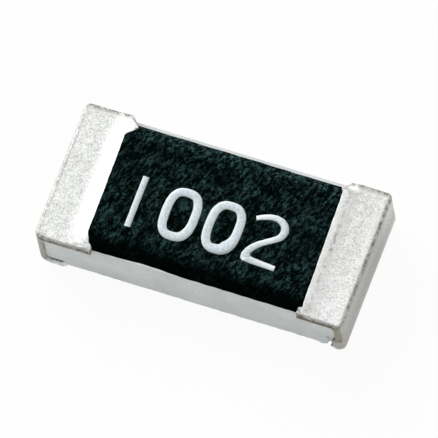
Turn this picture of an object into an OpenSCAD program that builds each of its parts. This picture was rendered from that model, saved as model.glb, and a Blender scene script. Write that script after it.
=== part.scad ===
// Surface-mount thick-film chip resistor, 1206 size.
// Lengths are in millimetres. +X runs along the chip from the left cap to the right cap,
// -Y is the front long side, +Z points away from the solder pads. The origin is under the
// middle of the chip, on the plane that the pads rest on.

/* [Substrate] */
// Length of the ceramic block
substrate_length = 3.06; // [2.9:0.02:3.2]
// Width of the ceramic block
substrate_width = 1.44; // [1.3:0.02:1.7]
// Thickness of the ceramic block
substrate_thickness = 0.535; // [0.4:0.005:0.7]
// Height of the bevel that the scribe line leaves along each long top edge
scribe_bevel_height = 0.03; // [0.01:0.005:0.06]
// Depth of that bevel into the top face
scribe_bevel_depth = 0.01; // [0.004:0.002:0.02]

/* [Printed electrodes] */
// Length of each electrode on the top face
top_electrode_length = 0.73; // [0.65:0.01:0.85]
// Length of each electrode on the bottom face
bottom_electrode_length = 0.36; // [0.3:0.01:0.5]
// Bare ceramic left between the substrate's end and the electrode on the bottom face
bottom_electrode_setback = 0.03; // [0.03:0.005:0.06]
// Bare ceramic left beside the electrodes, along each long side
electrode_margin = 0.06; // [0.05:0.005:0.1]
// Thickness of the top electrodes
top_electrode_thickness = 0.012; // [0.008:0.001:0.02]
// Thickness of the bottom electrodes
bottom_electrode_thickness = 0.01; // [0.006:0.001:0.02]

/* [Resistor] */
// Length of the film that laps onto each top electrode
film_lap = 0.13; // [0.08:0.01:0.2]
// Width of the resistive film
film_width = 1.1; // [0.9:0.01:1.2]
// Thickness of the film where it lies on an electrode
film_thickness = 0.01; // [0.006:0.001:0.015]
// Width of the trimming cut
trim_cut_width = 0.04; // [0.02:0.005:0.06]
// Reach of the trimming cut across the film, from its front edge
trim_cut_reach = 0.45; // [0.2:0.01:0.7]
// Length of the cut's second leg, along the film
trim_cut_leg = 0.4; // [0.1:0.01:0.6]
// Distance of the cut from the middle of the chip
trim_cut_offset = 0.2; // [0:0.01:0.3]
// Lap of the glass coat past the film, all round
glass_lap = 0.05; // [0.02:0.005:0.06]
// Thickness of the glass coat over the film
glass_thickness = 0.01; // [0.006:0.001:0.015]

/* [Overcoat] */
// Length of the overcoat between its two shoulders
overcoat_length = 2.24; // [2.14:0.01:2.34]
// Shift of the overcoat's print towards the right cap
overcoat_shift = 0.02; // [-0.04:0.01:0.04]
// Run of the left end's taper, under the cap
overcoat_taper_left = 0.21; // [0.12:0.01:0.24]
// Run of the right end's taper, under the cap
overcoat_taper_right = 0.12; // [0.1:0.01:0.24]
// Cover of the overcoat over the glass coat
overcoat_cover = 0.038; // [0.03:0.002:0.06]
// Run of the rounded long sides
overcoat_side_run = 0.18; // [0.12:0.01:0.24]
// Bare ceramic beside the overcoat at the front, inside the bevel
overcoat_front_margin = 0.004; // [0:0.002:0.04]
// Bare ceramic beside the overcoat at the back, inside the bevel
overcoat_back_margin = 0.03; // [0:0.002:0.04]

/* [Terminations] */
// Thickness of the edge electrode on the end face
edge_electrode_end = 0.044; // [0.03:0.002:0.06]
// Thickness of the edge electrode where it wraps over the edges
edge_electrode_wrap = 0.006; // [0.004:0.001:0.01]
// Length of the edge electrode under the chip
edge_electrode_bottom_lap = 0.25; // [0.15:0.01:0.3]
// Thickness of the nickel barrier
nickel_thickness = 0.008; // [0.005:0.001:0.012]
// Thickness of the tin plating
tin_thickness = 0.018; // [0.01:0.001:0.024]
// Distance by which each inner layer stops short of the next one on the overcoat's taper
lap_setback = 0.03; // [0.015:0.005:0.035]
// Height of each layer's edge where it ends on the overcoat
lap_edge = 0.006; // [0.003:0.001:0.01]
// Reach of the tin's lip down the long sides, from the top face
lip_top = 0.03; // [0.02:0.005:0.08]
// Reach of the tin's lip up the long sides, from the bottom face
lip_bottom = 0.06; // [0.03:0.005:0.1]
// Reach of the tin's lip along the long sides, from the end face
lip_end = 0.014; // [0.012:0.002:0.05]
// Run of the left cap's lip round the bottom edges, from the substrate's end
lip_run_left = 0.18; // [0.03:0.01:0.22]
// Run of the right cap's lip round the bottom edges, from the substrate's end
lip_run_right = 0.03; // [0.03:0.01:0.22]
// Bare ceramic beside the solder pads, past the lip's run
pad_margin = 0.03; // [0.01:0.005:0.05]
// Distance by which each inner layer stops short of the next one on the long sides
lip_setback = 0.005; // [0.003:0.001:0.006]
// Radius in the corners of the bare ceramic that the lip frames
lip_corner_radius = 0.04; // [0.02:0.005:0.08]
// Radius along the cap's top end edge
cap_top_radius = 0.05; // [0.04:0.005:0.07]
// Radius along the cap's bottom end edge
cap_bottom_radius = 0.12; // [0.04:0.005:0.12]
// Radius along the cap's long edges
cap_side_radius = 0.03; // [0.028:0.001:0.04]
// Radius of the cap's upright corners
cap_corner_radius = 0.08; // [0.04:0.005:0.095]

/* [Hidden] */
$fn = 64;

// Sides of the chip, and the plated layers from the inside out
LEFT = -1;
RIGHT = 1;
EDGE = 0;
NICKEL = 1;
TIN = 2;
LAYERS = 3;

// Thickness of the terminations up to each layer, over the edges and on the end face
wrap_out = [
    edge_electrode_wrap,
    edge_electrode_wrap + nickel_thickness,
    edge_electrode_wrap + nickel_thickness + tin_thickness
];
end_out = [for (out = wrap_out) out + edge_electrode_end - edge_electrode_wrap];

// Levels above the plane that the pads rest on
substrate_bottom = bottom_electrode_thickness + wrap_out[TIN];
substrate_top = substrate_bottom + substrate_thickness;
substrate_middle = substrate_bottom + substrate_thickness / 2;
electrode_top = substrate_top + top_electrode_thickness;
film_top = electrode_top + film_thickness;
glass_top = film_top + glass_thickness;
overcoat_top = glass_top + overcoat_cover;

// Flat part of the substrate's top face, between the bevels
land_width = substrate_width - 2 * scribe_bevel_depth;
electrode_width = land_width - 2 * electrode_margin;

// Plan of the resistor's own layers
film_length = substrate_length - 2 * top_electrode_length + 2 * film_lap;
glass_length = film_length + 2 * glass_lap;
glass_width = film_width + 2 * glass_lap;

// Overcoat: its long sides are arcs that leave its flat top without a crease
overcoat_front = -land_width / 2 + overcoat_front_margin;
overcoat_back = land_width / 2 - overcoat_back_margin;
overcoat_rise = overcoat_top - substrate_top;
overcoat_side_radius = (pow(overcoat_side_run, 2) + pow(overcoat_rise, 2)) / (2 * overcoat_rise);

// Distances from the substrate's end: to the overcoat's shoulder and to its taper's foot
function shoulder(side) = (substrate_length - overcoat_length) / 2 - side * overcoat_shift;
function taper_run(side) = side == LEFT ? overcoat_taper_left : overcoat_taper_right;
function taper_foot(side) = shoulder(side) - taper_run(side);

// Height of the overcoat's taper at a distance from the substrate's end
function taper_height(side, x) =
    electrode_top + (overcoat_top - electrode_top) * (x - taper_foot(side)) / taper_run(side);

// What a plated layer reaches: on the overcoat, under the chip, over the edges and round them
function lap_tip(side, layer) = shoulder(side) - (TIN - layer) * lap_setback;
function bottom_reach(layer) =
    layer == EDGE ? edge_electrode_bottom_lap : bottom_electrode_length + wrap_out[layer];
function layer_top(layer) = electrode_top + wrap_out[layer];
function layer_bottom(layer) = substrate_bottom - bottom_electrode_thickness - wrap_out[layer];
function layer_half_width(layer) = substrate_width / 2 + wrap_out[layer];
function layer_radius(outer_radius, layer) = outer_radius - wrap_out[TIN] + wrap_out[layer];
function lip(outer_lip, layer) = outer_lip - (TIN - layer) * lip_setback;
function lip_run(side, layer) = lip(side == LEFT ? lip_run_left : lip_run_right, layer);
function pad_half_width(layer) = substrate_width / 2 - pad_margin - wrap_out[TIN] + wrap_out[layer];

// Extrusions of a drawn section along each axis
module along_x(start, end) {
    translate([start, 0, 0])
        rotate([90, 0, 90])
            linear_extrude(height = end - start)
                children();
}

module along_y(width) {
    rotate([90, 0, 0])
        linear_extrude(height = width, center = true)
            children();
}

module along_z(start, end) {
    translate([0, 0, start])
        linear_extrude(height = end - start)
            children();
}

// A box from its lowest corner to its highest
module box(low, high) {
    translate(low)
        cube(high - low);
}

// Puts what is drawn from the substrate's end inwards at either end of the chip
module at_end(side) {
    translate([side * substrate_length / 2, 0, 0])
        mirror([side == RIGHT ? 1 : 0, 0, 0])
            children();
}

module substrate_form() {
    half = substrate_width / 2;
    land = land_width / 2;
    bevel_foot = substrate_top - scribe_bevel_height;
    along_x(-substrate_length / 2, substrate_length / 2)
        polygon([
            [-half, substrate_bottom],
            [half, substrate_bottom],
            [half, bevel_foot],
            [land, substrate_top],
            [-land, substrate_top],
            [-half, bevel_foot]
        ]);
}

module top_electrode_form(side) {
    at_end(side)
        box(
            [0, -electrode_width / 2, substrate_top],
            [top_electrode_length, electrode_width / 2, electrode_top]
        );
}

module bottom_electrode_form(side) {
    at_end(side)
        box(
            [bottom_electrode_setback, -electrode_width / 2, substrate_bottom - bottom_electrode_thickness],
            [bottom_electrode_length, electrode_width / 2, substrate_bottom]
        );
}

module both_top_electrodes() {
    top_electrode_form(LEFT);
    top_electrode_form(RIGHT);
}

// A layer printed on the substrate, centred on it
module printed_block(length, width, top) {
    box(
        [-length / 2, -width / 2, substrate_top],
        [length / 2, width / 2, top]
    );
}

// The L-shaped cut, through the glass coat and the film down to the ceramic
module trim_cut() {
    inner_end = -film_width / 2 + trim_cut_reach;
    along_z(substrate_top, glass_top) {
        translate([trim_cut_offset, -glass_width / 2])
            square([trim_cut_width, glass_lap + trim_cut_reach]);
        translate([trim_cut_offset - trim_cut_leg, inner_end - trim_cut_width])
            square([trim_cut_leg + trim_cut_width, trim_cut_width]);
    }
}

// The overcoat's cross-section, raised by a layer that follows it
module overcoat_section(raise) {
    flat_front = overcoat_front + overcoat_side_run;
    flat_back = overcoat_back - overcoat_side_run;
    radius = overcoat_side_radius + raise;
    arc_middle = overcoat_top - overcoat_side_radius;
    intersection() {
        union() {
            translate([flat_front, substrate_top])
                square([flat_back - flat_front, overcoat_rise + raise]);
            for (y = [flat_front, flat_back])
                translate([y, arc_middle])
                    circle(radius);
        }
        translate([flat_front - radius, substrate_top])
            square([flat_back - flat_front + 2 * radius, overcoat_rise + raise]);
    }
}

// The overcoat as if nothing lay under it
module overcoat_form() {
    half = substrate_length / 2;
    intersection() {
        along_y(substrate_width)
            polygon([
                [-half + taper_foot(LEFT), substrate_top],
                [half - taper_foot(RIGHT), substrate_top],
                [half - taper_foot(RIGHT), electrode_top],
                [half - shoulder(RIGHT), overcoat_top],
                [-half + shoulder(LEFT), overcoat_top],
                [-half + taper_foot(LEFT), electrode_top]
            ]);
        along_x(-half, half)
            overcoat_section(0);
    }
}

// Side view of a plated layer with all that it encloses
module wrap_side_view(side, layer) {
    end = -end_out[layer];
    bottom = layer_bottom(layer);
    top = layer_top(layer);
    low_radius = layer_radius(cap_bottom_radius, layer);
    high_radius = layer_radius(cap_top_radius, layer);
    polygon([
        [end + low_radius, bottom],
        [bottom_reach(layer), bottom],
        [bottom_reach(layer), substrate_middle],
        [lap_tip(side, layer), substrate_middle],
        [lap_tip(side, layer), top],
        [end + high_radius, top],
        [end, top - high_radius],
        [end, bottom + low_radius]
    ]);
    translate([end + low_radius, bottom + low_radius])
        circle(low_radius);
    translate([end + high_radius, top - high_radius])
        circle(high_radius);
}

// Plan of a plated layer, with rounded corners at the end of the chip
module wrap_plan(side, layer) {
    end = -end_out[layer];
    half = layer_half_width(layer);
    radius = layer_radius(cap_corner_radius, layer);
    reach = max(lap_tip(side, layer), bottom_reach(layer));
    polygon([
        [end + radius, -half],
        [reach, -half],
        [reach, half],
        [end + radius, half],
        [end, half - radius],
        [end, radius - half]
    ]);
    for (y = [radius - half, half - radius])
        translate([end + radius, y])
            circle(radius);
}

// Cross-section of a plated layer, with all four long edges rounded
module wrap_section(layer) {
    half = layer_half_width(layer);
    bottom = layer_bottom(layer);
    top = layer_top(layer);
    radius = layer_radius(cap_side_radius, layer);
    translate([-half, bottom + radius])
        square([2 * half, top - bottom - 2 * radius]);
    translate([radius - half, bottom])
        square([2 * half - 2 * radius, top - bottom]);
    for (y = [radius - half, half - radius], z = [bottom + radius, top - radius])
        translate([y, z])
            circle(radius);
}

// A plated layer's lap, which climbs the overcoat's taper
module lap_wedge(side, layer) {
    foot = taper_foot(side);
    tip = lap_tip(side, layer);
    intersection() {
        along_y(substrate_width)
            polygon([
                [foot, substrate_top],
                [tip, substrate_top],
                [tip, taper_height(side, tip) + lap_edge],
                [foot, layer_top(layer)]
            ]);
        along_x(foot, tip)
            overcoat_section(lap_edge * (layer + 1) / LAYERS);
    }
}

// Opening on both long sides, where the lip leaves the ceramic bare
module bare_side(side, layer) {
    start = lip(lip_end, layer);
    low = substrate_bottom + lip(lip_bottom, layer);
    high = substrate_top - lip(lip_top, layer);
    reach = max(lap_tip(side, layer), bottom_reach(layer)) + lip_corner_radius;
    along_y(2 * layer_half_width(TIN) + lip_corner_radius) {
        translate([start + lip_corner_radius, low])
            square([reach - start, high - low]);
        translate([start, low + lip_corner_radius])
            square([reach - start, high - low - 2 * lip_corner_radius]);
        for (z = [low + lip_corner_radius, high - lip_corner_radius])
            translate([start + lip_corner_radius, z])
                circle(lip_corner_radius);
    }
}

// Room on both long sides of the pad, past the lip's run
module bare_pad_sides(side, layer) {
    inner = pad_half_width(layer);
    outer = layer_half_width(layer) + pad_margin;
    for (y = [-outer, inner])
        box(
            [lip_run(side, layer), y, layer_bottom(layer) - pad_margin],
            [bottom_reach(layer) + pad_margin, y + outer - inner, substrate_middle]
        );
}

// A plated layer with all that it encloses, apart from the bare ceramic sides
module wrap_form(side, layer) {
    reach = max(lap_tip(side, layer), bottom_reach(layer));
    at_end(side)
        difference() {
            union() {
                intersection() {
                    along_y(2 * layer_half_width(layer))
                        wrap_side_view(side, layer);
                    along_z(layer_bottom(layer), layer_top(layer))
                        wrap_plan(side, layer);
                    along_x(-end_out[layer], reach)
                        wrap_section(layer);
                }
                lap_wedge(side, layer);
            }
            bare_side(side, layer);
            bare_pad_sides(side, layer);
        }
}

// One plated layer: its form less what it covers
module plated_layer(side, layer) {
    difference() {
        wrap_form(side, layer);
        if (layer > EDGE)
            wrap_form(side, layer - 1);
        substrate_form();
        top_electrode_form(side);
        bottom_electrode_form(side);
        overcoat_form();
    }
}

module ceramic_substrate() {
    color("#cdd2d2")
        substrate_form();
}

module top_electrode(side) {
    color("#b9b3a2")
        top_electrode_form(side);
}

module bottom_electrode(side) {
    color("#c2bdb0")
        bottom_electrode_form(side);
}

module resistive_film() {
    color("#33352f")
        difference() {
            printed_block(film_length, film_width, film_top);
            both_top_electrodes();
            trim_cut();
        }
}

module inner_glass_coat() {
    color("#6d8a78")
        difference() {
            printed_block(glass_length, glass_width, glass_top);
            printed_block(film_length, film_width, film_top);
            both_top_electrodes();
            trim_cut();
        }
}

module black_overcoat() {
    color("#10201f")
        difference() {
            overcoat_form();
            both_top_electrodes();
            resistive_film();
            inner_glass_coat();
        }
}

module edge_electrode(side) {
    color("#aaa69a")
        plated_layer(side, EDGE);
}

module nickel_barrier(side) {
    color("#b5ad9c")
        plated_layer(side, NICKEL);
}

module tin_cap(side) {
    color("#dcdedd")
        plated_layer(side, TIN);
}

ceramic_substrate();
top_electrode(LEFT);  // top_electrode_left
top_electrode(RIGHT);  // top_electrode_right
bottom_electrode(LEFT);  // bottom_electrode_left
bottom_electrode(RIGHT);  // bottom_electrode_right
resistive_film();
inner_glass_coat();
black_overcoat();
edge_electrode(LEFT);  // edge_electrode_left
edge_electrode(RIGHT);  // edge_electrode_right
nickel_barrier(LEFT);  // nickel_barrier_left
nickel_barrier(RIGHT);  // nickel_barrier_right
tin_cap(LEFT);  // tin_cap_left
tin_cap(RIGHT);  // tin_cap_right
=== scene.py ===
"""Looks of a 1206 thick-film chip resistor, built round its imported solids.

Pieces are shaped in millimetres, in the frame of the solids, and brought to metres when they are done:
+X runs from the left cap to the right cap, -Y is the front long side, and the pads rest on Z = 0.
"""

import math

import bmesh
import bpy
from mathutils import Matrix, Vector, noise


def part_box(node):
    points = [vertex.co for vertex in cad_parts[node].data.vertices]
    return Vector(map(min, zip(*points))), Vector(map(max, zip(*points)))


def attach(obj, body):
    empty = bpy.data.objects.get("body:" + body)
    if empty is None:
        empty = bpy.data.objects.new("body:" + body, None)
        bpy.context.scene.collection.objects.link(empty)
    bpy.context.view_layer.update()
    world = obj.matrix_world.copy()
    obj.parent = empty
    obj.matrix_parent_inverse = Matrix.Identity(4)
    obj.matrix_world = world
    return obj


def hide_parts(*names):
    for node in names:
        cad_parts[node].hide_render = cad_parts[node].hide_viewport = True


MM = 0.001
LEFT, RIGHT = -1, 1
FRONT, BACK = -1, 1

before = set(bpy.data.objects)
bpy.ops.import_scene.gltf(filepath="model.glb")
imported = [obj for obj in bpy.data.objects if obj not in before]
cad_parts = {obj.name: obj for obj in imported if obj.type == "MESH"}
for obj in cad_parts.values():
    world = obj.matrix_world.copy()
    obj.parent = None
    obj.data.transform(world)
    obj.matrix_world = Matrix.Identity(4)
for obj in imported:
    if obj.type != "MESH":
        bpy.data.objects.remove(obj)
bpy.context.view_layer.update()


def box_mm(node):
    """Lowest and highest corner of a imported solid, in millimetres."""
    low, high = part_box(node)
    return low / MM, high / MM


CERAMIC_LOW, CERAMIC_HIGH = box_mm("ceramic_substrate")
COAT_LOW, COAT_HIGH = box_mm("black_overcoat")
GLASS_LOW, GLASS_HIGH = box_mm("inner_glass_coat")
ELECTRODES = [box_mm("top_electrode_left"), box_mm("top_electrode_right")]
ELECTRODE_TOP = ELECTRODES[0][1].z
CAPS = {LEFT: box_mm("tin_cap_left"), RIGHT: box_mm("tin_cap_right")}
CAP_END = CAPS[RIGHT][1].x
CAP_HALF_WIDTH = CAPS[RIGHT][1].y

# Ceramic: bevel left by the scribe line, relief of the broken sides, chip and burr of the front edge
SCRIBE_HEIGHT, SCRIBE_DEPTH = 0.03, 0.01
CERAMIC_SPACING = (0.0125, 0.06, 0.0125)
BREAK_RELIEF = 0.0022
FOOT_WEAR, FOOT_WEAR_HEIGHT = 0.005, 0.022
CHIP_X, CHIP_HALF_LENGTH, CHIP_DEPTH, CHIP_HEIGHT = 1.432, 0.034, 0.06, 0.17
CHIP_LEAN = 0.016
BURR_X, BURR_HALF_LENGTH, BURR_REACH, BURR_HEIGHT = 1.345, 0.035, 0.012, 0.03

# Overcoat: arcs along its sides, tapers at its ends, pebble of its surface and its streaks of painted
# glints
COAT_SPACING = 0.0095
COAT_SIDE_RUN = 0.18
COAT_TAPER = {LEFT: 0.21, RIGHT: 0.12}
COAT_RISE = COAT_HIGH.z - CERAMIC_HIGH.z
COAT_RADIUS = (COAT_SIDE_RUN ** 2 + COAT_RISE ** 2) / (2 * COAT_RISE)
COAT_LEAST = 0.0006
PEBBLE_HEIGHT = 0.0013
PEBBLE_WIDTH, PEBBLE_LENGTH = 0.032, 0.06
STREAK_WIDTH, STREAK_LENGTH = 0.03, 0.068
STREAK_TURN = math.radians(-23)

# Tin caps: outer radii, plating, stops and lanes of the mesh, lips on the long sides, pads, darkened edges
CAP_BUILD = 0.032
CAP_TOP = ELECTRODE_TOP + CAP_BUILD
CAP_TOP_RADIUS = {LEFT: 0.032, RIGHT: 0.042}
CAP_BOTTOM_RADIUS, BARRIER_BOTTOM_RADIUS = 0.155, 0.12
CAP_SIDE_RADIUS, CAP_FOOT_RADIUS, CAP_CORNER_RADIUS = 0.03, 0.052, 0.08
TIN = 0.018
TIN_TIP = 0.006
TIN_LEAST = 0.003
TIN_OVER_NICKEL = 0.002
EDGE_SEAT = 0.002
EDGE_ROUNDING = 0.005
LAP_SETBACK = 0.03
CAP_SPACING = 0.0095
EDGE_STOPS, FIRST_EVEN_STOP = (0.0, 0.0016, 0.004, 0.0075), 0.012
HEEL_STOPS, PAD_SPACING = (0.006, 0.003, 0.0), 0.013
LIP_SHARES = (1.0, 0.97, 0.91, 0.8, 0.6, 0.4, 0.2)
LIP_LENGTH = 0.045
END_FROM_CERAMIC = CAP_END - CERAMIC_HIGH.x
WINDOW_END = {LEFT: END_FROM_CERAMIC + 0.014, RIGHT: END_FROM_CERAMIC + 0.026}
WINDOW_TOP = CERAMIC_HIGH.z - 0.03
WINDOW_BOTTOM = CERAMIC_LOW.z + 0.06
WINDOW_RADIUS = 0.04
BOOT_TOP = 0.29
BOOT_RUN = {LEFT: 0.0, RIGHT: 0.04}
PAD_REACH = 0.462
PAD_HALF_WIDTH = CERAMIC_HIGH.y - 0.043
PAD_EDGE_RADIUS, PAD_EDGE_DROP = 0.018, 0.001
LIP_RUN = {LEFT: END_FROM_CERAMIC + 0.185, RIGHT: END_FROM_CERAMIC + 0.026}
LIP_FADE = {LEFT: 0.08, RIGHT: 0.014}
LIP_STAIN = {LEFT: 0.3, RIGHT: 1.0}
LIP_FEATHER = {LEFT: 0.02, RIGHT: 0.0}
END_EDGE_DARKENING = {LEFT: 0.6, RIGHT: 0.9}
END_EDGE_DARKENING_TURN = {LEFT: math.radians(12), RIGHT: math.radians(35)}
TIN_GRAIN = 0.0006
BURR_LUMPS = 9
TIN_MARKS = ("lip", "end", "line", "crest", "lap", "bright")

# Value code: film of ink on the coat, strokes and places of the figures
INK_TOP = COAT_HIGH.z + 0.0055
INK_FOOT = COAT_HIGH.z - 0.003
INK_RAGGED = 0.0022
ONE_X = -0.753
FIGURE_PITCH = 0.453
FIGURE_MIDDLE_Y = -0.111
ONE_STROKE, ZERO_STROKE, TWO_STROKE = 0.065, 0.09, 0.072
ZERO_HALF_WIDTH, ZERO_HALF_HEIGHT, ZERO_FULLNESS = 0.147, 0.240, 2.8
ZERO_POINTS = 72

# Camera: fitted to the photograph's edges; shifts and width of the view in millimetres at the chip
VIEW_AZIMUTH, VIEW_ELEVATION = math.radians(30.94), math.radians(65.83)
VIEW_ROLL = math.radians(11.81)
VIEW_WIDTH = 4.271
VIEW_SHIFT_RIGHT, VIEW_SHIFT_UP = 0.0017, 0.2068
LENS, SENSOR = 1200.0, 36.0


def smooth(start, end, value):
    """0 before start, 1 after end, and a soft step between them."""
    t = min(max((value - start) / (end - start), 0.0), 1.0)
    return t * t * (3 - 2 * t)


def mix(a, b, share):
    return a + (b - a) * share


def hill(value, middle, half_width):
    """A soft bump of height 1."""
    return math.exp(-((value - middle) / half_width) ** 2)


def spread(start, end, spacing):
    """Even stops from start up to, but without, end."""
    count = max(1, round(abs(end - start) / spacing))
    return [start + (end - start) * i / count for i in range(count)]


def grain(x, y, z, size, seed):
    """Smooth noise, about -1 to 1, with lumps of that size in millimetres."""
    return noise.noise(Vector((x / size + seed, y / size - seed, z / size + 2 * seed)))


def linear(hex_colour):
    """A hex sRGB colour as linear RGBA."""
    channels = [int(hex_colour[i:i + 2], 16) / 255 for i in (1, 3, 5)]
    return [c / 12.92 if c <= 0.04045 else ((c + 0.055) / 1.055) ** 2.4 for c in channels] + [1.0]


def add_node(tree, kind, inputs=None, **settings):
    """Adds a node with its settings; each input takes a value, or a link from another node's output."""
    node = tree.nodes.new(kind)
    for name, value in settings.items():
        setattr(node, name, value)
    for key, value in (inputs or {}).items():
        if isinstance(value, bpy.types.NodeSocket):
            tree.links.new(value, node.inputs[key])
        else:
            node.inputs[key].default_value = value
    return node


def new_material(name):
    """An empty node material, with its tree and its coordinates in millimetres."""
    material = bpy.data.materials.new(name)
    material.use_nodes = True
    tree = material.node_tree
    tree.nodes.clear()
    place = add_node(tree, "ShaderNodeTexCoord")
    in_mm = add_node(
        tree, "ShaderNodeMapping",
        {"Vector": place.outputs["Object"], "Scale": (1 / MM, 1 / MM, 1 / MM)},
    )
    return material, tree, in_mm.outputs["Vector"]


def close_material(tree, shader):
    add_node(tree, "ShaderNodeOutputMaterial", {"Surface": shader.outputs["BSDF"]})


def fired_alumina():
    """Dense 96 % alumina: matte, off-white with a cool grey cast, faintly mottled by its grains."""
    material, tree, place = new_material("fired_alumina")
    blotches = add_node(
        tree, "ShaderNodeTexNoise",
        {"Vector": place, "Scale": 1 / 0.22, "Detail": 3.0, "Roughness": 0.6})
    grains = add_node(
        tree, "ShaderNodeTexNoise",
        {"Vector": place, "Scale": 1 / 0.022, "Detail": 2.0, "Roughness": 0.6})
    cloud = add_node(
        tree, "ShaderNodeMapRange",
        {"Value": blotches.outputs["Fac"], "From Min": 0.35, "From Max": 0.65})
    base = add_node(
        tree, "ShaderNodeMix",
        {"Factor": cloud.outputs["Result"], "A": linear("#d4d9d8"), "B": linear("#e0e4e3")},
        data_type="RGBA")
    speck = add_node(
        tree, "ShaderNodeMapRange",
        {"Value": grains.outputs["Fac"], "From Min": 0.3, "From Max": 0.7,
         "To Min": 0.93, "To Max": 1.03})
    toned = add_node(
        tree, "ShaderNodeVectorMath",
        {0: base.outputs["Result"], "Scale": speck.outputs["Result"]}, operation="SCALE")
    notch_spot = add_node(tree, "ShaderNodeAttribute", attribute_name="notch_spot")
    # Darker spot at the top of the chip notch
    spotted = add_node(
        tree, "ShaderNodeMix",
        {"Factor": notch_spot.outputs["Fac"], "A": toned.outputs["Vector"], "B": linear("#4b4a50")},
        data_type="RGBA")
    relief = add_node(
        tree, "ShaderNodeBump",
        {"Height": grains.outputs["Fac"], "Strength": 0.35, "Distance": 0.004 * MM})
    shader = add_node(
        tree, "ShaderNodeBsdfPrincipled",
        {"Base Color": spotted.outputs["Result"], "Roughness": 0.62, "IOR": 1.7,
         "Specular IOR Level": 0.35, "Normal": relief.outputs["Normal"]})
    close_material(tree, shader)
    return material


def black_epoxy():
    """Screen-printed epoxy overcoat: nearly black and satin, with dim teal streaks that are painted glints
    of its pebbled surface.
    """
    material, tree, place = new_material("black_epoxy_overcoat")
    stretched = add_node(
        tree, "ShaderNodeMapping",
        {"Vector": place, "Rotation": (0.0, 0.0, STREAK_TURN),
         "Scale": (STREAK_WIDTH, STREAK_LENGTH, STREAK_WIDTH)},
        vector_type="TEXTURE")
    pebbles = add_node(
        tree, "ShaderNodeTexNoise",
        {"Vector": stretched.outputs["Vector"], "Scale": 1.0, "Detail": 3.0, "Roughness": 0.85})
    clouds = add_node(
        tree, "ShaderNodeTexNoise",
        {"Vector": place, "Scale": 1 / 0.14, "Detail": 2.0, "Roughness": 0.6})
    share = add_node(tree, "ShaderNodeAttribute", attribute_name="streaks")
    glint = add_node(
        tree, "ShaderNodeMapRange",
        {"Value": pebbles.outputs["Fac"], "From Min": 0.485, "From Max": 0.76,
         "To Min": 0.004, "To Max": 0.8})
    cloudy = add_node(
        tree, "ShaderNodeMapRange",
        {"Value": clouds.outputs["Fac"], "From Min": 0.3, "From Max": 0.7,
         "To Min": 0.4, "To Max": 1.6})
    uneven = add_node(
        tree, "ShaderNodeMath",
        {0: glint.outputs["Result"], 1: cloudy.outputs["Result"]}, operation="MULTIPLY")
    level = add_node(
        tree, "ShaderNodeMath",
        {0: uneven.outputs["Value"], 1: share.outputs["Fac"]}, operation="MULTIPLY")
    # Painted glints: the teal streaks are highlights of the pebble put into the base colour, scaled by the
    # mesh's streaks share
    painted_glints = add_node(
        tree, "ShaderNodeMix",
        {"Factor": level.outputs["Value"], "A": linear("#010403"), "B": linear("#3c5b5b")},
        data_type="RGBA")
    relief = add_node(
        tree, "ShaderNodeBump",
        {"Height": pebbles.outputs["Fac"], "Strength": 0.7, "Distance": 0.007 * MM})
    shader = add_node(
        tree, "ShaderNodeBsdfPrincipled",
        {"Base Color": painted_glints.outputs["Result"], "Roughness": 0.36, "IOR": 1.5,
         "Specular IOR Level": 0.006, "Specular Tint": linear("#8efffb"),
         "Normal": relief.outputs["Normal"]})
    close_material(tree, shader)
    return material


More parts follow.
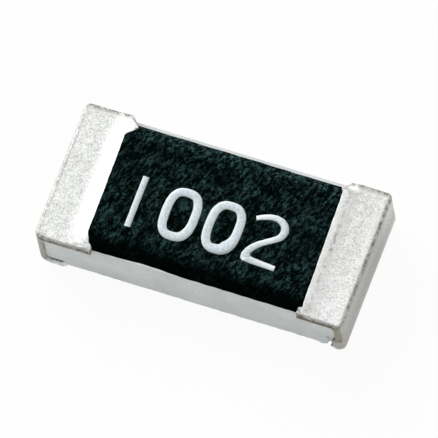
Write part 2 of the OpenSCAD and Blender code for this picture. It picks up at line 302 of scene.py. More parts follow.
def matte_tin():
    """Matte electroplated tin: pale grey metal, frosted by crystals, brown and worn along its edges, with
    painted shade, painted dark reflections and painted highlights in its colour.
    """
    material, tree, place = new_material("matte_tin_plating")
    marks = {
        key: add_node(tree, "ShaderNodeAttribute", attribute_name=key).outputs["Fac"]
        for key in TIN_MARKS}
    crystals = add_node(
        tree, "ShaderNodeTexNoise",
        {"Vector": place, "Scale": 1 / 0.02, "Detail": 3.0, "Roughness": 0.8})
    blots = add_node(
        tree, "ShaderNodeTexNoise",
        {"Vector": place, "Scale": 1 / 0.05, "Detail": 2.0, "Roughness": 0.6})
    lumps = add_node(
        tree, "ShaderNodeMix",
        {"Factor": 0.33, "A": crystals.outputs["Fac"], "B": blots.outputs["Fac"]}, data_type="FLOAT")
    brightened = add_node(
        tree, "ShaderNodeMath",
        {0: marks["bright"], 1: 0.05, 2: lumps.outputs["Result"]}, operation="MULTIPLY_ADD")
    speck = add_node(
        tree, "ShaderNodeMapRange",
        {"Value": brightened.outputs["Value"], "From Min": 0.37, "From Max": 0.59})
    patchy = add_node(
        tree, "ShaderNodeMapRange",
        {"Value": blots.outputs["Fac"], "From Min": 0.40, "From Max": 0.60,
         "To Min": 0.22, "To Max": 1.0})
    # Worn crests, with painted shade in the crease and along the tab edges
    worn = add_node(
        tree, "ShaderNodeMath", {0: marks["crest"], 1: patchy.outputs["Result"]}, operation="MULTIPLY")
    broken = add_node(
        tree, "ShaderNodeMapRange",
        {"Value": blots.outputs["Fac"], "From Min": 0.40, "From Max": 0.56,
         "To Min": 0.55, "To Max": 1.0})
    # Brown lines along the edges: partly brown of the layers there, partly painted dark reflection of the
    # rounded edges
    brown_and_shade = add_node(
        tree, "ShaderNodeMath", {0: marks["line"], 1: broken.outputs["Result"]}, operation="MULTIPLY")
    dapple = add_node(
        tree, "ShaderNodeMapRange",
        {"Value": lumps.outputs["Result"], "From Min": 0.37, "From Max": 0.59,
         "To Min": 1.08, "To Max": 0.92})
    # Painted shade on the end faces, with paler painted reflections towards the back and at the foot
    darkened = add_node(
        tree, "ShaderNodeMath", {0: marks["end"], 1: dapple.outputs["Result"]}, operation="MULTIPLY")
    light = add_node(
        tree, "ShaderNodeMix",
        {"Factor": marks["bright"], "A": linear("#f2f3f0"), "B": linear("#ffffff")}, data_type="RGBA")
    colour = add_node(
        tree, "ShaderNodeMix",
        {"Factor": speck.outputs["Result"], "A": linear("#b7b8b6"), "B": light.outputs["Result"]},
        data_type="RGBA")
    # Tones laid over the grain: painted lap highlight, painted end shade, lip stain, worn crests with
    # painted shade, brown lines with painted dark reflection
    for share, tone in (
            (marks["lap"], "#f4f5f3"), (darkened.outputs["Value"], "#9d9c97"), (marks["lip"], "#96927e"),
            (worn.outputs["Value"], "#7d7a70"), (brown_and_shade.outputs["Value"], "#514431")):
        colour = add_node(
            tree, "ShaderNodeMix",
            {"Factor": share, "A": colour.outputs["Result"], "B": linear(tone)}, data_type="RGBA")
    metal = add_node(
        tree, "ShaderNodeMapRange", {"Value": marks["lip"], "To Min": 1.0, "To Max": 0.4})
    frost = add_node(
        tree, "ShaderNodeMapRange",
        {"Value": blots.outputs["Fac"], "From Min": 0.3, "From Max": 0.7,
         "To Min": 0.52, "To Max": 0.66})
    bite = add_node(
        tree, "ShaderNodeMapRange", {"Value": marks["lap"], "To Min": 0.6, "To Max": 0.12})
    relief = add_node(
        tree, "ShaderNodeBump",
        {"Height": crystals.outputs["Fac"], "Strength": bite.outputs["Result"], "Distance": 0.005 * MM})
    shader = add_node(
        tree, "ShaderNodeBsdfPrincipled",
        {"Base Color": colour.outputs["Result"], "Metallic": metal.outputs["Result"],
         "Roughness": frost.outputs["Result"], "Normal": relief.outputs["Normal"]})
    close_material(tree, shader)
    return material


def marking_ink():
    """White epoxy marking ink: matte and a little uneven, a domed film with a highlight painted along its
    edges.
    """
    material, tree, place = new_material("white_marking_ink")
    dome = add_node(tree, "ShaderNodeAttribute", attribute_name="dome")
    uneven = add_node(
        tree, "ShaderNodeTexNoise",
        {"Vector": place, "Scale": 1 / 0.03, "Detail": 3.0, "Roughness": 0.6})
    cover = add_node(
        tree, "ShaderNodeMapRange",
        {"Value": uneven.outputs["Fac"], "From Min": 0.3, "From Max": 0.7})
    base = add_node(
        tree, "ShaderNodeMix",
        {"Factor": cover.outputs["Result"], "A": linear("#b9c8ce"), "B": linear("#dfe9ec")},
        data_type="RGBA")
    # Painted highlight along the edges of each stroke
    edge_highlight = add_node(
        tree, "ShaderNodeMapRange",
        {"Value": dome.outputs["Fac"], "From Min": 0.97, "From Max": 0.75})
    highlighted = add_node(
        tree, "ShaderNodeMix",
        {"Factor": edge_highlight.outputs["Result"], "A": base.outputs["Result"], "B": linear("#f5fbfc")},
        data_type="RGBA")
    swell = add_node(
        tree, "ShaderNodeBump", {"Height": dome.outputs["Fac"], "Strength": 1.0, "Distance": 0.03 * MM})
    relief = add_node(
        tree, "ShaderNodeBump",
        {"Height": uneven.outputs["Fac"], "Strength": 0.5, "Distance": 0.005 * MM,
         "Normal": swell.outputs["Normal"]})
    shader = add_node(
        tree, "ShaderNodeBsdfPrincipled",
        {"Base Color": highlighted.outputs["Result"], "Roughness": 0.5, "IOR": 1.5,
         "Normal": relief.outputs["Normal"]})
    close_material(tree, shader)
    return material


def hidden_layer(name, dark, light, size, metallic, roughness):
    """A printed or plated layer under the coat or the tin: two tones mottled by lumps of that size."""
    material, tree, place = new_material(name)
    lumps = add_node(
        tree, "ShaderNodeTexNoise",
        {"Vector": place, "Scale": 1 / size, "Detail": 3.0, "Roughness": 0.6})
    tones = add_node(
        tree, "ShaderNodeMix",
        {"Factor": lumps.outputs["Fac"], "A": linear(dark), "B": linear(light)}, data_type="RGBA")
    relief = add_node(
        tree, "ShaderNodeBump",
        {"Height": lumps.outputs["Fac"], "Strength": 0.4, "Distance": 0.003 * MM})
    shader = add_node(
        tree, "ShaderNodeBsdfPrincipled",
        {"Base Color": tones.outputs["Result"], "Metallic": metallic, "Roughness": roughness,
         "Normal": relief.outputs["Normal"]})
    close_material(tree, shader)
    return material


def hand_over(name, bm, material, slot, *nodes, sharp_deg=180):
    """Brings a shaped mesh to metres and makes it a piece that stands for those solids."""
    bmesh.ops.scale(bm, vec=(MM, MM, MM), verts=bm.verts)
    bm.normal_update()
    mesh = bpy.data.meshes.new(name)
    bm.to_mesh(mesh)
    bm.free()
    mesh.shade_smooth()
    if sharp_deg < 180:
        mesh.set_sharp_from_angle(angle=math.radians(sharp_deg))
    mesh.materials.append(material)
    piece = bpy.data.objects.new(name, mesh)
    bpy.context.scene.collection.objects.link(piece)
    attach(piece, "root")
    if nodes:
        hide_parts(*nodes)


def alumina_block(material):
    """The ceramic: a snapped block with scribed top edges, rough sides and a chipped front edge."""
    size = CERAMIC_HIGH - CERAMIC_LOW
    bm = bmesh.new()
    bmesh.ops.create_cube(bm, size=1.0)
    bmesh.ops.scale(bm, vec=size, verts=bm.verts)
    bmesh.ops.translate(bm, vec=(CERAMIC_LOW + CERAMIC_HIGH) / 2, verts=bm.verts)
    for axis, spacing in enumerate(CERAMIC_SPACING):
        along = [e for e in bm.edges if abs((e.verts[0].co - e.verts[1].co)[axis]) > 0.9 * size[axis]]
        cuts = round(size[axis] / spacing) - 1
        bmesh.ops.subdivide_edges(bm, edges=along, cuts=cuts, use_grid_fill=True)
    notch_spot = bm.verts.layers.float.new("notch_spot")
    half = size.y / 2
    for v in bm.verts:
        x, y, z = v.co
        if half - abs(y) > CERAMIC_SPACING[1] / 2:
            continue
        side = math.copysign(1, y)
        inwards = SCRIBE_DEPTH * max(0.0, z - CERAMIC_HIGH.z + SCRIBE_HEIGHT) / SCRIBE_HEIGHT
        inwards += BREAK_RELIEF * (0.5 + 0.5 * grain(x, side, 2 * z, 0.2, 1.7))
        inwards += 0.5 * BREAK_RELIEF * grain(x, side, 1.4 * z, 0.045, 5.3)
        worn = 0.6 + 0.8 * grain(x, side, 0, 0.06, 3.9)
        inwards += FOOT_WEAR * smooth(FOOT_WEAR_HEIGHT, 0.0, z - CERAMIC_LOW.z) * worn
        if side == FRONT:
            up = (z - CERAMIC_LOW.z) / CHIP_HEIGHT
            across = (x - CHIP_X + CHIP_LEAN * up) / (CHIP_HALF_LENGTH * (1.1 - min(up, 0.8)))
            inwards += CHIP_DEPTH * max(0.0, 1 - up) * smooth(1.0, 0.55, abs(across))
            inwards -= BURR_REACH * hill(x, BURR_X, BURR_HALF_LENGTH) * hill(z, CERAMIC_LOW.z, BURR_HEIGHT)
            # A darker spot at the top of the chip notch
            v[notch_spot] = 0.85 * hill(x, CHIP_X - CHIP_LEAN, 0.014) * hill(up, 1.0, 0.16)
        v.co.y -= side * inwards
    hand_over("alumina_block", bm, material, "alumina", "ceramic_substrate", sharp_deg=50)


def coat_front(x):
    """Front edge of the coat, which the print left slightly wavy."""
    return COAT_LOW.y + 0.016 * hill(x, -0.45, 0.26) + 0.004 * grain(x, 0, 0, 0.11, 4.1)


def coat_back(x):
    return COAT_HIGH.y + 0.004 * grain(x, 1, 0, 0.13, 8.3)


def coat_arc(inset):
    """Height of the coat above the ceramic at a distance in from its long edge."""
    short = max(0.0, COAT_SIDE_RUN - inset)
    return math.sqrt(COAT_RADIUS ** 2 - min(short, COAT_SIDE_RUN) ** 2) - COAT_RADIUS + COAT_RISE


def coat_section(y):
    """Level of the coat's top between the caps, without waves or pebble."""
    return CERAMIC_HIGH.z + coat_arc(min(y - COAT_LOW.y, COAT_HIGH.y - y))


def coat_taper(x):
    """Level of the tapered ends under the caps."""
    climb = min((x - COAT_LOW.x) / COAT_TAPER[LEFT], (COAT_HIGH.x - x) / COAT_TAPER[RIGHT])
    return ELECTRODE_TOP + (COAT_HIGH.z - ELECTRODE_TOP) * climb


def pebble(x, y):
    """Relief of the coat: lumps drawn out along the streaks, with finer ones on them."""
    across = (x * math.cos(STREAK_TURN) + y * math.sin(STREAK_TURN)) / PEBBLE_WIDTH
    along = (y * math.cos(STREAK_TURN) - x * math.sin(STREAK_TURN)) / PEBBLE_LENGTH
    coarse = noise.noise(Vector((across, along, 3.1)))
    return coarse + 0.5 * noise.noise(Vector((1.9 * across, 1.9 * along, 9.7)))


def under_coat(x, y):
    """Level of what the coat lies on: glass, electrodes or bare ceramic."""
    if GLASS_LOW.x < x < GLASS_HIGH.x and GLASS_LOW.y < y < GLASS_HIGH.y:
        return GLASS_HIGH.z
    for low, high in ELECTRODES:
        if low.x < x < high.x and low.y < y < high.y:
            return high.z
    return CERAMIC_HIGH.z


def epoxy_coat(material):
    """The overcoat: a pebbled plateau with rounded sides and tapered ends, closed underneath."""
    size = COAT_HIGH - COAT_LOW
    bm = bmesh.new()
    streaks = bm.verts.layers.float.new("streaks")
    bmesh.ops.create_grid(
        bm, x_segments=round(size.x / COAT_SPACING), y_segments=round(size.y / COAT_SPACING), size=0.5)
    grown = bmesh.ops.extrude_face_region(bm, geom=bm.faces[:], use_keep_orig=True)
    upper = {item for item in grown["geom"] if isinstance(item, bmesh.types.BMVert)}
    for v in bm.verts:
        x = COAT_LOW.x + size.x * (v.co.x + 0.5)
        front, back = coat_front(x), coat_back(x)
        y = mix(front, back, v.co.y + 0.5)
        inset = min(y - front, back - y)
        # Painted shade and sheen: the streaks share falls to 0.1 on the front slope and rises on the back
        # slope, standing in for the light those slopes reflect
        v[streaks] = mix(0.1, 1.0, smooth(0.08, 0.22, y - front)) + 0.9 * smooth(0.2, 0.05, back - y)
        top = min(CERAMIC_HIGH.z + coat_arc(inset), coat_taper(x))
        if v in upper:
            top += PEBBLE_HEIGHT * pebble(x, y) * smooth(0.0, 0.06, inset)
            v.co = (x, y, top)
        else:
            v.co = (x, y, min(under_coat(x, y), top - COAT_LEAST))
    bmesh.ops.recalc_face_normals(bm, faces=bm.faces)
    hand_over("epoxy_coat", bm, material, "overcoat", "black_overcoat")


def cap_stops(side, reach):
    """Stops along a cap's outer path: distance in from the end, level, turn of the outward normal."""
    top_radius, low_radius = CAP_TOP_RADIUS[side], CAP_BOTTOM_RADIUS
    stops = [(reach - d, CAP_TOP, 0.0) for d in EDGE_STOPS]
    stops += [(s, CAP_TOP, 0.0) for s in spread(reach - FIRST_EVEN_STOP, top_radius, CAP_SPACING)]
    for turn in spread(0.0, math.pi / 2, math.pi / 20):
        level = CAP_TOP - top_radius * (1 - math.cos(turn))
        stops.append((top_radius * (1 - math.sin(turn)), level, turn))
    stops += [(0.0, z, math.pi / 2) for z in spread(CAP_TOP - top_radius, low_radius, CAP_SPACING)]
    for turn in spread(0.0, math.pi / 2, math.pi / 28):
        level = low_radius * (1 - math.sin(turn))
        stops.append((low_radius * (1 - math.cos(turn)), level, math.pi / 2 + turn))
    stops += [(s, 0.0, math.pi) for s in spread(low_radius, PAD_REACH - HEEL_STOPS[0], PAD_SPACING)]
    stops += [(PAD_REACH - d, 0.0, math.pi) for d in HEEL_STOPS]
    return stops


def cap_lanes():
    """Lanes across a cap, from the front lip's edge to the back lip's: zone, share or turn, side."""
    half = [("lip", f) for f in LIP_SHARES]
    half += [("round", t) for t in spread(math.pi / 2, 0.0, math.pi / 18)]
    half += [("flat", f) for f in spread(1.0, 0.0, CAP_SPACING / CAP_HALF_WIDTH)]
    front = [(zone, f, FRONT) for zone, f in half]
    back = [(zone, f, BACK) for zone, f in half]
    return front + [("flat", 0.0, BACK)] + back[::-1]


def window_point(side, s, z, turn):
    """Where the lip that starts at a stop ends, on the outline of the bare ceramic side."""
    high, low = WINDOW_TOP - WINDOW_RADIUS, WINDOW_BOTTOM + WINDOW_RADIUS
    end = WINDOW_END[side] + BOOT_RUN[side] * smooth(BOOT_TOP, BOOT_TOP - 0.09, z)
    corner_s = end + WINDOW_RADIUS
    if turn == 0.0 and s >= corner_s:
        return s, WINDOW_TOP
    if turn == math.pi and s >= corner_s:
        return s, WINDOW_BOTTOM
    if turn == math.pi / 2 and low <= z <= high:
        return end, z
    if z > CAP_TOP / 2:
        along = (corner_s - s) + (CAP_TOP - z)
        angle = math.pi / 2 * min(1.0, along / (corner_s + CAP_TOP - high))
        return corner_s - WINDOW_RADIUS * math.sin(angle), high + WINDOW_RADIUS * math.cos(angle)
    share = (low - z + s) / (low + corner_s)
    if share >= 1.0:
        return max(s, corner_s), WINDOW_BOTTOM
    angle = math.pi / 2 * max(0.0, share)
    return corner_s - WINDOW_RADIUS * math.cos(angle), low - WINDOW_RADIUS * math.sin(angle)


def cap_tab(side, y):
    """How far the tin runs out past its straight edge on the coat: a tab at the front and the back."""
    ragged = 0.003 * grain(side, y, 0, 0.05, 6.6) + 0.003 * grain(side, y, 0, 0.16, 2.2)
    if side == LEFT:
        slant = -0.0035 - 0.0155 * y
        back = 0.1 * smooth(0.51, 0.635, y) - 0.085 * smooth(0.63, 0.755, y)
        front = 0.035 * smooth(-0.54, -0.65, y) + 0.045 * smooth(-0.645, -0.70, y)
    else:
        slant = -0.003 + 0.029 * y
        back = 0.03 * smooth(0.60, 0.68, y) - 0.075 * smooth(0.67, 0.752, y)
        lumps = 0.012 * grain(0, y, 0, 0.022, 3.3) * smooth(-0.62, -0.66, y)
        front = 0.04 * smooth(-0.655, -0.685, y) + lumps
    return ragged + slant + back + front


def barrier_top(side, beyond):
    """Level of the nickel under the lap, at a distance back from the tin's straight edge."""
    run, level = COAT_TAPER[side], CAP_TOP - TIN
    tip = mix(COAT_HIGH.z, ELECTRODE_TOP, LAP_SETBACK / run) + TIN_TIP
    return mix(tip, level, min(1.0, max(0.0, beyond - LAP_SETBACK) / (run - LAP_SETBACK)))


def cap_lift(side, beyond, y):
    """Rise of the tin where it climbs the coat's taper, at a distance back from its straight edge."""
    full = CAPS[side][1].z - CAP_TOP
    if side == LEFT:
        climb = max(0.0, 1 - beyond / COAT_TAPER[LEFT]) ** 1.8
    else:
        steep, gentle = smooth(0.0, 0.19, beyond), smooth(0.0, 0.38, beyond)
        climb = 1 - mix(steep, gentle, 0.45)
    inset = min(y - COAT_LOW.y, COAT_HIGH.y - y)
    lift = full * climb * mix(0.7, 1.0, smooth(-0.046, 0.1, inset))
    if inset < 0:
        return lift
    return max(lift, barrier_top(side, beyond) + TIN_OVER_NICKEL - CAP_TOP)


def plan_corner(s, y, half_width):
    """Rounds the upright corners at the end of the chip."""
    ds, dy = s - CAP_CORNER_RADIUS, abs(y) - (half_width - CAP_CORNER_RADIUS)
    if ds >= 0 or dy <= 0:
        return s, y
    off = math.hypot(ds, dy)
    if off <= CAP_CORNER_RADIUS:
        return s, y
    shrink = CAP_CORNER_RADIUS / off
    half = half_width - CAP_CORNER_RADIUS + dy * shrink
    return CAP_CORNER_RADIUS + ds * shrink, math.copysign(half, y)


def foot_radius(turn):
    """Radius along the long edges, which grows round the bottom end edge."""
    return mix(CAP_SIDE_RADIUS, CAP_FOOT_RADIUS, smooth(math.pi / 2, 0.75 * math.pi, turn))


def cap_point(side, reach, stop, lane):
    """Outer surface of a cap at a stop and a lane: distance in, place across the width, level."""
    (s, z, turn), (zone, share, sign) = stop, lane
    radius, half_width = CAP_SIDE_RADIUS, CAP_HALF_WIDTH
    window = window_point(side, s, z, turn)
    if turn > math.pi / 2:
        bare = smooth(LIP_RUN[side], LIP_RUN[side] + LIP_FADE[side], s)
        half_width = mix(half_width, PAD_HALF_WIDTH, bare)
        window = (window[0], mix(window[1], CERAMIC_LOW.z - PAD_EDGE_DROP, bare))
        radius = mix(foot_radius(turn), PAD_EDGE_RADIUS, bare)
    out_s, out_z = -math.sin(turn), math.cos(turn)
    if zone == "flat":
        y, depth = sign * share * (half_width - radius), 0.0
    elif zone == "round":
        y = sign * (half_width - radius + radius * math.sin(share))
        depth = radius * (1 - math.cos(share))
    else:
        feather = LIP_FEATHER[side] * smooth(0.0, 0.5, turn) * smooth(0.3, 1.0, share)
        y, depth = sign * (half_width - feather), radius
    ps, pz = s - out_s * depth, z - out_z * depth
    if zone == "lip":
        ps, pz = mix(ps, window[0], share), mix(pz, window[1], share)
    if turn == 0.0:
        ps += cap_tab(side, y) * (1 - smooth(0.0, 0.28, reach - s))
        pz += cap_lift(side, max(0.0, reach - ps), y) * (1 - share if zone == "lip" else 1.0)
        if side == RIGHT and sign == BACK:
            thin = smooth(0.16, 0.02, reach - ps) * smooth(0.62, 0.72, y)
            y -= 0.015 * thin
            pz = mix(pz, min(pz, CAP_TOP - 0.006), thin)
    ps, y = plan_corner(ps, y, half_width)
    return ps, y, pz


def cap_depth(reach, stop, lane, point):
    """Thickness of the tin: full plating inside, and down to what carries it along its free edges."""
    (s, _, turn), (zone, share, _) = stop, lane
    _, y, level = point
    to_carrier = CAP_HALF_WIDTH - CERAMIC_HIGH.y + EDGE_SEAT
    if zone == "lip" and share == 1.0:
        return to_carrier
    if zone != "lip" and turn == math.pi:
        to_carrier = CERAMIC_LOW.z + EDGE_SEAT
    elif zone != "lip" and turn == 0.0:
        carrier = CERAMIC_HIGH.z
        if COAT_LOW.y < y < COAT_HIGH.y:
            carrier = max(coat_section(y), carrier)
        to_carrier = level - carrier + EDGE_SEAT
    thick = TIN
    if turn > math.pi / 2:
        thick -= (CAP_BOTTOM_RADIUS - BARRIER_BOTTOM_RADIUS) * (math.sin(turn) - math.cos(turn) - 1)
        if zone == "round":
            thick -= (foot_radius(turn) - CAP_SIDE_RADIUS) * (math.sin(share) + math.cos(share) - 1)
    tip = reach - s if turn == 0.0 else 1.0
    heel = PAD_REACH - s if turn == math.pi else 1.0
    depth = mix(to_carrier, thick, smooth(0.0, 0.03, tip) * smooth(0.0, 0.018, heel))
    return max(depth, TIN_LEAST)


def lumpy(side, reach, stop, y):
    """Share of the burr of lumps that ends the right cap's front edge."""
    s, _, turn = stop
    if side == LEFT or turn > 0.0:
        return 0.0
    return smooth(0.11, 0.04, reach - s) * smooth(-0.60, -0.66, y)


def painted_end_shade(turn, y, z):
    """Share of painted shade on an end face, standing in for the shadowed floor it reflects; less towards
    the back and at its foot, as painted reflections of a light and of the white floor.
    """
    face = smooth(math.radians(35), math.radians(80), turn)
    face *= smooth(math.radians(170), math.radians(120), turn)
    foot = mix(0.6, 1.0, smooth(-0.35, -0.68, y))
    tone = mix(0.84, 0.69, smooth(0.28, 0.56, z)) * mix(foot, 1.0, smooth(0.11, 0.26, z))
    paler = 0.45 * smooth(0.2, 0.65, y) * mix(0.6, 1.0, smooth(0.25, 0.5, z))
    return face * max(0.1, tone - paler)


def cap_stains(side, reach, stop, lane, y):
    """Shares of what marks the tin: lip stain, painted end shade, brown lines with painted dark
    reflection, worn crests with painted shade, painted lap highlight, lighter right cap.
    """
    (s, z, turn), (zone, share, sign) = stop, lane
    over = share if zone == "round" else math.pi / 2 + share if zone == "lip" else 0.0
    beyond = reach - s
    low_side = smooth(math.pi / 4, math.pi / 2, turn)
    foot = smooth(0.66 * math.pi, 0.8 * math.pi, turn)
    rim = smooth(2.38, 2.57, over)
    corner_line = hill(over, 1.2, 0.3) * (1 - foot)
    spot = boot = tab_edge = lap = bright = 0.0
    if side == LEFT:
        # Brown line over the rounded top edge: partly brown of the layers, partly painted dark reflection
        # of the rounding
        top_line = hill(over, 1.75, 0.85)
        broken = smooth(-0.05, 0.35, grain(s, z, 0, 0.04, 3.6))
        low_line = max(0.8 * rim * broken, 0.35 * corner_line)
        if sign == FRONT:
            spot = 0.95 * hill(s, 0.06, 0.045) * smooth(0.075, 0.03, CAP_HALF_WIDTH + y) * (1 - low_side)
            spot *= smooth(-0.35, 0.15, grain(s, y, 0.03 * over, 0.035, 2.7))
        if turn == 0.0:
            # Painted shade along the tab's slanted edge, the side of the tin's edge turned from the light
            tab_edge = 0.9 * smooth(0.035, 0.005, beyond) * smooth(0.50, 0.57, y)
            # Painted highlight: the band where the tin climbs the coat is whitened, with less bump, as if
            # reflecting the key light
            lap = smooth(0.20, 0.09, beyond) * smooth(-0.68, -0.50, y) * smooth(0.70, 0.60, y)
    else:
        # Brown line over the rounded top edge: partly brown of the layers, partly painted dark reflection
        # of the rounding
        top_line = hill(over, 1.65, 1.0)
        above_boot = smooth(BOOT_TOP - 0.06, BOOT_TOP - 0.02, z)
        low_line = max(rim * mix(0.5, 0.8, foot), 0.5 * corner_line * above_boot)
        # Lighter tone on the right cap, more towards its front
        bright = mix(0.28, 0.55, smooth(0.0, -0.6, y))
        if z < CAP_TOP / 2:
            boot = smooth(BOOT_TOP, BOOT_TOP - 0.04, z)
            spot = 0.8 * hill(z, BOOT_TOP - 0.025, 0.022) * smooth(1.0, 1.4, over)
        if turn == 0.0:
            burr = lumpy(side, reach, stop, y)
            knobs = smooth(0.0, 0.35, grain(s, y, over, 0.024, 5.9))
            spot = 0.85 * burr * knobs * smooth(0.2, 0.9, over)
            # Painted shadow line in the crease between the band on the coat and the flat top
            crease = 0.6 * hill(beyond, 0.078, 0.022) * smooth(-0.2, 0.4, grain(2 * s, y, 0, 0.055, 7.7))
            darkened = 0.45 * smooth(0.58, 0.65, y) * smooth(0.19, 0.11, beyond)
            tab_edge = max(burr * smooth(-0.1, 0.4, grain(s, y, over, 0.03, 8.8)), crease, darkened)
            # Painted highlight on the right band next to the coat
            lap = 0.4 * smooth(0.2, 0.1, beyond)
    # Darker specks along the top end edge and the long edges: partly wear, partly painted edge shade
    end_edge = hill(turn, END_EDGE_DARKENING_TURN[side], math.radians(30))
    end_edge *= smooth(0.03, 0.0, s - CAP_TOP_RADIUS[side]) * END_EDGE_DARKENING[side]
    long_edge = 0.85 * smooth(0.075, 0.02, CAP_HALF_WIDTH - y) if turn == 0.0 else 0.0
    return {
        "lip": LIP_STAIN[side] * smooth(1.2, 1.8, over) * (1 - foot) * (1 - 0.85 * boot),
        "end": painted_end_shade(turn, y, z),
        "line": max(mix(top_line, low_line, low_side), spot),
        "crest": max(end_edge, long_edge, tab_edge),
        "lap": lap,
        "bright": bright}


def tin_cap(side, name, material, node):
    """A cap: one frosted sheet from the coat over the end to the pad, with lips round the long sides."""
    low, high = CAPS[side]
    reach = high.x - low.x
    stops, lanes = cap_stops(side, reach), cap_lanes()
    bm = bmesh.new()
    bmesh.ops.create_grid(bm, x_segments=len(stops) - 1, y_segments=len(lanes) - 1, size=0.5)
    layer = {key: bm.verts.layers.float.new(key) for key in TIN_MARKS}
    inner = bm.verts.layers.float_vector.new("inner")
    where = {}
    for v in bm.verts:
        stop = stops[round((v.co.x + 0.5) * (len(stops) - 1))]
        lane = lanes[round((v.co.y + 0.5) * (len(lanes) - 1))]
        point = cap_point(side, reach, stop, lane)
        where[v] = stop, lane, point
        v.co = (side * (CAP_END - point[0]), point[1], point[2])
    bm.normal_update()
    middle = min(bm.verts, key=lambda v: (v.co - Vector((side * (CAP_END - 0.2), 0, CAP_TOP))).length)
    if middle.normal.z < 0:
        bmesh.ops.reverse_faces(bm, faces=bm.faces)
        bm.normal_update()
    moved = {}
    for v, (stop, lane, point) in where.items():
        (s, _, turn), (zone, share, _) = stop, lane
        x, y, level = v.co
        edge = min(
            reach - s if turn == 0.0 else 1.0,
            PAD_REACH - s if turn == math.pi else 1.0,
            (1 - share) * LIP_LENGTH if zone == "lip" else 1.0)
        short = max(0.0, EDGE_ROUNDING - edge)
        drop = EDGE_ROUNDING - math.sqrt(EDGE_ROUNDING ** 2 - short ** 2)
        frost = grain(x, y, level, 0.024, 1.3) + 0.7 * grain(x, y, level, 0.06, 4.4)
        frost -= BURR_LUMPS * lumpy(side, reach, stop, y) * (0.5 + 0.5 * grain(x, y, level, 0.03, 8.8))
        moved[v] = (
            v.co + v.normal * (TIN_GRAIN * (frost - 1.2) * smooth(0.0, 0.02, edge) - drop),
            v.co - v.normal * cap_depth(reach, stop, lane, point))
        for key, value in cap_stains(side, reach, stop, lane, y).items():
            v[layer[key]] = value
    for v, (outer, inside) in moved.items():
        v.co = outer
        v[inner] = inside
    grown = bmesh.ops.extrude_face_region(bm, geom=bm.faces[:], use_keep_orig=True)
    for item in grown["geom"]:
        if isinstance(item, bmesh.types.BMVert):
            item.co = item[inner]
    bm.verts.layers.float_vector.remove(inner)
    bmesh.ops.recalc_face_normals(bm, faces=bm.faces)
    hand_over(name, bm, material, "tin", node)


def zero(middle_x, heavy):
    """Plan points of a zero, whose stroke grows inwards at the lower right by that share of its width."""
    points = []
    for i in range(ZERO_POINTS):
        turn = 2 * math.pi * i / ZERO_POINTS - math.pi
        c, s = math.cos(turn), math.sin(turn)
        extra = heavy * hill(turn, -0.95, 0.6)
        inset = extra * ZERO_STROKE / 2
        points.append((
            middle_x + (ZERO_HALF_WIDTH - inset) * math.copysign(abs(c) ** (2 / ZERO_FULLNESS), c),
            FIGURE_MIDDLE_Y + (ZERO_HALF_HEIGHT - inset) * math.copysign(abs(s) ** (2 / ZERO_FULLNESS), s),
            1.0 + extra))
    return points


def ink_profile():
    """Section of a stroke, 1 wide: a film with rounded edges, from its foot to its top."""
    curve = bpy.data.curves.new("ink_profile", "CURVE")
    curve.dimensions = "2D"
    height = INK_TOP - INK_FOOT
    half = [(0.5, 0.0), (0.5, 0.3), (0.47, 0.5), (0.41, 0.7), (0.31, 0.87), (0.18, 0.97)]
    outline = [(-0.5, 0.0)] + half + [(0.0, 1.0)] + [(-across, up) for across, up in half[:0:-1]]
    spline = curve.splines.new("POLY")
    spline.points.add(len(outline) - 1)
    for point, (across, up) in zip(spline.points, outline):
        point.co = (across, up * height, 0.0, 1.0)
    spline.use_cyclic_u = True
    profile = bpy.data.objects.new("ink_profile", curve)
    bpy.context.scene.collection.objects.link(profile)
    return profile


def ink_stroke(profile, points, width, closed):
    """A swept stroke of ink along plan points (x, y, share of the width), as a mesh in millimetres."""
    curve = bpy.data.curves.new("stroke", "CURVE")
    curve.dimensions = "3D"
    curve.twist_mode = "Z_UP"
    curve.bevel_mode = "OBJECT"
    curve.bevel_object = profile
    curve.use_fill_caps = True
    spline = curve.splines.new("POLY" if closed else "BEZIER")
    if closed:
        spline.points.add(len(points) - 1)
        for point, (x, y, share) in zip(spline.points, points):
            point.co = (x / width, y / width, 0.0, 1.0)
            point.radius = share
    else:
        spline.bezier_points.add(len(points) - 1)
        for point, (x, y, share) in zip(spline.bezier_points, points):
            point.co = (x / width, y / width, 0.0)
            point.handle_left_type = point.handle_right_type = "AUTO"
            point.radius = share
        spline.resolution_u = 8
    spline.use_cyclic_u = closed
    stroke = bpy.data.objects.new("stroke", curve)
    bpy.context.scene.collection.objects.link(stroke)
    bpy.context.view_layer.update()
    mesh = bpy.data.meshes.new_from_object(stroke.evaluated_get(bpy.context.evaluated_depsgraph_get()))
    bpy.data.objects.remove(stroke)
    bpy.data.curves.remove(curve)
    mesh.transform(Matrix.Diagonal((width, width, 1.0, 1.0)))
    mesh.transform(Matrix.Translation((0.0, 0.0, INK_FOOT)))
    return mesh


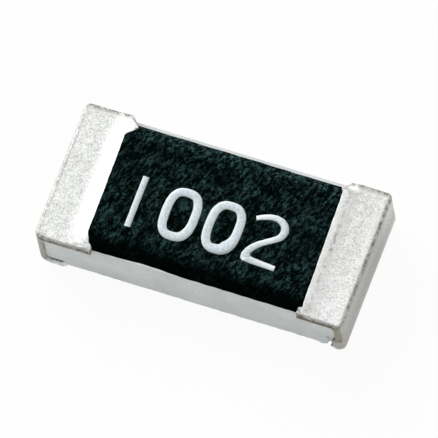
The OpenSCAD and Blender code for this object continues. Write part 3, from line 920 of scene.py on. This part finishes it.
def value_code(material):
    """The four figures of the value code, each stroke a slightly raised film of ink on the coat."""
    one = [(ONE_X, -0.389, 1.0), (ONE_X - 0.002, -0.1, 1.0), (ONE_X - 0.002, 0.165, 1.0)]
    first_zero = zero(ONE_X + FIGURE_PITCH - 0.003, 0.12)
    second_zero = zero(ONE_X + 2 * FIGURE_PITCH - 0.005, 0.45)
    two_hook = [
        (0.418, 0.085, 0.72), (0.494, 0.120, 0.82), (0.565, 0.139, 0.88), (0.635, 0.136, 0.95),
        (0.692, 0.105, 1.08), (0.724, 0.060, 1.15), (0.727, 0.008, 1.12), (0.706, -0.042, 1.0),
        (0.655, -0.084, 0.9), (0.585, -0.130, 0.88), (0.513, -0.188, 0.96), (0.459, -0.257, 1.06),
        (0.436, -0.318, 1.0), (0.417, -0.366, 0.4)]
    two_base = [
        (0.420, -0.366, 0.4), (0.470, -0.348, 1.0), (0.540, -0.353, 0.96), (0.625, -0.358, 0.9),
        (0.700, -0.362, 0.86), (0.766, -0.366, 0.82)]
    two_joint = [(0.452, -0.280, 0.7), (0.460, -0.318, 1.1), (0.464, -0.350, 0.8)]
    strokes = [
        (one, ONE_STROKE, False),
        (first_zero, ZERO_STROKE, True),
        (second_zero, ZERO_STROKE, True),
        (two_hook, TWO_STROKE, False),
        (two_base, TWO_STROKE, False),
        (two_joint, TWO_STROKE, False)]
    profile = ink_profile()
    bm = bmesh.new()
    for points, width, closed in strokes:
        mesh = ink_stroke(profile, points, width, closed)
        bm.from_mesh(mesh)
        bpy.data.meshes.remove(mesh)
    bpy.data.curves.remove(profile.data)
    bmesh.ops.remove_doubles(bm, verts=bm.verts, dist=1e-5)
    bmesh.ops.recalc_face_normals(bm, faces=bm.faces)
    dome = bm.verts.layers.float.new("dome")
    for v in bm.verts:
        x, y, z = v.co
        v[dome] = (z - INK_FOOT) / (INK_TOP - INK_FOOT)
        v.co.x += INK_RAGGED * grain(x, y, 0, 0.03, 2.9)
        v.co.y += INK_RAGGED * grain(x, y, 0, 0.03, 7.1)
        v.co.z = min(z, INK_TOP)
    hand_over("value_code", bm, material, "marking_ink", sharp_deg=60)


def soft_box(name, direction, distance, size, radiance):
    """A square studio light, aimed at the chip, with the radiance of its face given."""
    lamp = bpy.data.lights.new(name, "AREA")
    lamp.shape = "SQUARE"
    lamp.size = size
    lamp.energy = radiance * math.pi * size ** 2
    holder = bpy.data.objects.new(name, lamp)
    away = Vector(direction).normalized()
    holder.location = away * distance
    holder.rotation_mode = "QUATERNION"
    holder.rotation_quaternion = away.to_track_quat("Z", "Y")
    holder.visible_camera = False
    bpy.context.scene.collection.objects.link(holder)


def studio():
    """Pale floor, light grey surroundings, a bright box behind on the left and weaker ones to fill."""
    bm = bmesh.new()
    bmesh.ops.create_circle(bm, cap_ends=True, segments=96, radius=0.5)
    bmesh.ops.translate(bm, vec=(0.0, 0.0, -0.002 * MM), verts=bm.verts)
    mesh = bpy.data.meshes.new("floor")
    bm.to_mesh(mesh)
    bm.free()
    floor = bpy.data.objects.new("floor", mesh)
    bpy.context.scene.collection.objects.link(floor)
    material = bpy.data.materials.new("pale_floor")
    material.use_nodes = True
    tree = material.node_tree
    tree.nodes.clear()
    path = add_node(tree, "ShaderNodeLightPath")
    seen = add_node(
        tree, "ShaderNodeMath",
        {0: path.outputs["Is Camera Ray"], 1: path.outputs["Is Glossy Ray"]}, operation="MAXIMUM")
    seen_all = add_node(
        tree, "ShaderNodeMath",
        {0: seen.outputs["Value"], 1: path.outputs["Is Transmission Ray"]}, operation="MAXIMUM")
    share = add_node(
        tree, "ShaderNodeMath", {0: seen_all.outputs["Value"], 1: 0.93}, operation="MULTIPLY")
    paint = add_node(tree, "ShaderNodeBsdfDiffuse", {"Color": linear("#f4f4f4")})
    white = add_node(tree, "ShaderNodeEmission", {"Color": (1.0, 1.0, 1.0, 1.0), "Strength": 1.0})
    blend = add_node(
        tree, "ShaderNodeMixShader",
        {0: share.outputs["Value"], 1: paint.outputs["BSDF"], 2: white.outputs["Emission"]})
    add_node(tree, "ShaderNodeOutputMaterial", {"Surface": blend.outputs["Shader"]})
    mesh.materials.append(material)

    world = bpy.data.worlds.new("studio")
    world.use_nodes = True
    tree = world.node_tree
    tree.nodes.clear()
    path = add_node(tree, "ShaderNodeLightPath")
    room = add_node(tree, "ShaderNodeBackground", {"Color": (0.20, 0.205, 0.21, 1.0), "Strength": 1.0})
    backdrop = add_node(tree, "ShaderNodeBackground", {"Color": (1.0, 1.0, 1.0, 1.0), "Strength": 1.0})
    sky = add_node(
        tree, "ShaderNodeMixShader",
        {0: path.outputs["Is Camera Ray"],
         1: room.outputs["Background"], 2: backdrop.outputs["Background"]})
    add_node(tree, "ShaderNodeOutputWorld", {"Surface": sky.outputs["Shader"]})
    bpy.context.scene.world = world

    soft_box("key_behind_left", (-0.60, 0.62, 0.50), 0.35, 0.26, 5.2)
    soft_box("overhead", (0.28, 0.20, 0.94), 0.35, 0.30, 0.85)
    soft_box("side_left", (-0.90, -0.10, 0.42), 0.35, 0.20, 2.5)
    soft_box("fill_front_right", (0.45, -0.78, 0.42), 0.40, 0.26, 1.6)
    soft_box("fill_right", (0.85, 0.35, 0.40), 0.40, 0.22, 1.2)


def photo_camera():
    """A long lens at the photograph's angle, rolled so that the chip leans as it does there."""
    a, e, r = VIEW_AZIMUTH, VIEW_ELEVATION, VIEW_ROLL
    back = Vector((math.sin(a) * math.cos(e), -math.cos(a) * math.cos(e), math.sin(e)))
    level = Vector((math.cos(a), math.sin(a), 0.0))
    upright = back.cross(level)
    up = upright * math.cos(r) + level * math.sin(r)
    right = level * math.cos(r) - upright * math.sin(r)
    camera = bpy.data.cameras.new("photo_camera")
    camera.lens, camera.sensor_width = LENS, SENSOR
    camera.clip_start, camera.clip_end = 0.01, 2.0
    holder = bpy.data.objects.new("photo_camera", camera)
    aim = right * VIEW_SHIFT_RIGHT + up * VIEW_SHIFT_UP
    place = (aim + back * (VIEW_WIDTH * LENS / SENSOR)) * MM
    turn = Matrix((right, up, back)).transposed().to_4x4()
    holder.matrix_world = Matrix.Translation(place) @ turn
    bpy.context.scene.collection.objects.link(holder)
    bpy.context.scene.camera = holder


bpy.context.scene.view_settings.view_transform = "Standard"
photo_camera()
studio()

tin = matte_tin()
alumina_block(fired_alumina())
epoxy_coat(black_epoxy())
tin_cap(LEFT, "tin_plating_left", tin, "tin_cap_left")
tin_cap(RIGHT, "tin_plating_right", tin, "tin_cap_right")
value_code(marking_ink())

# Layers that the coat and the tin hide: warm grey silver, yellowish nickel, dark paste, green glass
silver = hidden_layer("fired_silver_film", "#a39d8e", "#c6c0b0", 0.03, 1.0, 0.5)
nickel = hidden_layer("nickel_plating", "#a39c8b", "#bdb5a3", 0.025, 1.0, 0.42)
paste = hidden_layer("ruthenium_paste", "#22241f", "#3c3f38", 0.03, 0.0, 0.45)
glass = hidden_layer("green_cover_glass", "#55705f", "#7d9a88", 0.05, 0.0, 0.2)
finishes = {
    "top_electrode": silver, "bottom_electrode": silver, "edge_electrode": silver,
    "nickel_barrier": nickel, "resistive_film": paste, "inner_glass_coat": glass}
for node_name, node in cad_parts.items():
    for start, finish in finishes.items():
        if node_name.startswith(start):
            node.data.materials.clear()
            node.data.materials.append(finish)
